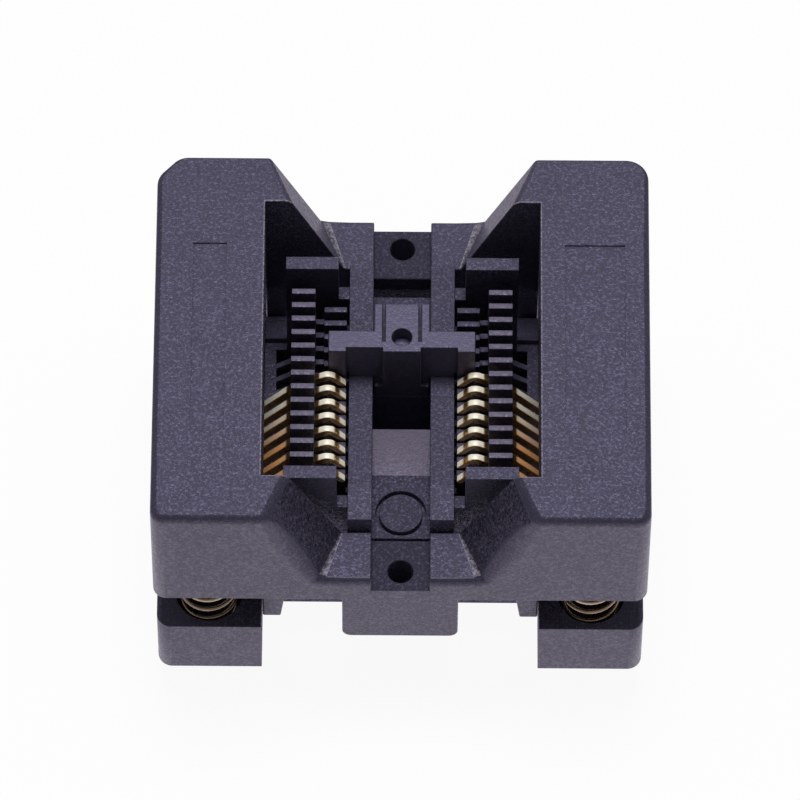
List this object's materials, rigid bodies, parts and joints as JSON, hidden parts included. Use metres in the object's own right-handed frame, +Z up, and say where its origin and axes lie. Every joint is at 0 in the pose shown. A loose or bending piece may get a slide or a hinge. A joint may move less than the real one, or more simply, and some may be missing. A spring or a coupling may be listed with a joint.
{
  "type": "ic test socket",
  "caption": "Open-top test socket for a small-outline package: a sprung frame cover that swings rows of gold contact arms off the leads when it is pressed.",
  "frame": {"origin": "middle of the face that sits on the circuit board", "axes": "+Z up out of the board, +X across the two rows of contacts, +Y to the rear, away from the end where the package's contacts start"},
  "size_m": [0.0204, 0.0174, 0.0146],
  "materials": {
    "moulded_plastic": "black glass-filled plastic, fine matte grain",
    "insert_plastic": "black plastic, slightly smoother than the housing",
    "gold_plate": "gold-plated spring alloy, bright",
    "spring_wire": "drawn wire, satin"
  },
  "bodies": {
    "base": {"base_housing": "moulded_plastic", "rear_stop": "insert_plastic", "spring_front_left": "spring_wire", "spring_front_right": "spring_wire", "spring_rear_left": "spring_wire", "spring_rear_right": "spring_wire", "contact_stem_left_1": "gold_plate", "contact_stem_left_2": "gold_plate", "contact_stem_left_3": "gold_plate", "contact_stem_left_4": "gold_plate", "contact_stem_left_5": "gold_plate", "contact_stem_left_6": "gold_plate", "contact_stem_left_7": "gold_plate", "contact_stem_left_8": "gold_plate", "contact_stem_right_1": "gold_plate", "contact_stem_right_2": "gold_plate", "contact_stem_right_3": "gold_plate", "contact_stem_right_4": "gold_plate", "contact_stem_right_5": "gold_plate", "contact_stem_right_6": "gold_plate", "contact_stem_right_7": "gold_plate", "contact_stem_right_8": "gold_plate"},
    "cover": {"cover": "moulded_plastic"},
    "left_contact_arms": {"contact_arm_left_1": "gold_plate", "contact_arm_left_2": "gold_plate", "contact_arm_left_3": "gold_plate", "contact_arm_left_4": "gold_plate", "contact_arm_left_5": "gold_plate", "contact_arm_left_6": "gold_plate", "contact_arm_left_7": "gold_plate", "contact_arm_left_8": "gold_plate"},
    "right_contact_arms": {"contact_arm_right_1": "gold_plate", "contact_arm_right_2": "gold_plate", "contact_arm_right_3": "gold_plate", "contact_arm_right_4": "gold_plate", "contact_arm_right_5": "gold_plate", "contact_arm_right_6": "gold_plate", "contact_arm_right_7": "gold_plate", "contact_arm_right_8": "gold_plate"}
  },
  "joints": [
    {"name": "cover_press", "type": "slide", "parent": "base", "child": "cover", "axis": [0, 0, -1], "range_m": [0, 0.002], "stiffness_N_per_m": 800, "springref_m": -0.001, "deforming": ["spring_front_left", "spring_front_right", "spring_rear_left", "spring_rear_right"]},
    {"name": "left_arms_swing", "type": "hinge", "parent": "base", "child": "left_contact_arms", "pos_m": [-0.0041, 0, 0.00665], "axis": [0, -1, 0], "range_deg": [0, 28]},
    {"name": "right_arms_swing", "type": "hinge", "parent": "base", "child": "right_contact_arms", "pos_m": [0.0041, 0, 0.00665], "axis": [0, 1, 0], "range_deg": [0, 28]}
  ],
  "couplings": [
    {"joint": "left_arms_swing", "follows": "cover_press", "rad_per_m": 244.3},
    {"joint": "right_arms_swing", "follows": "cover_press", "rad_per_m": 244.3}
  ]
}
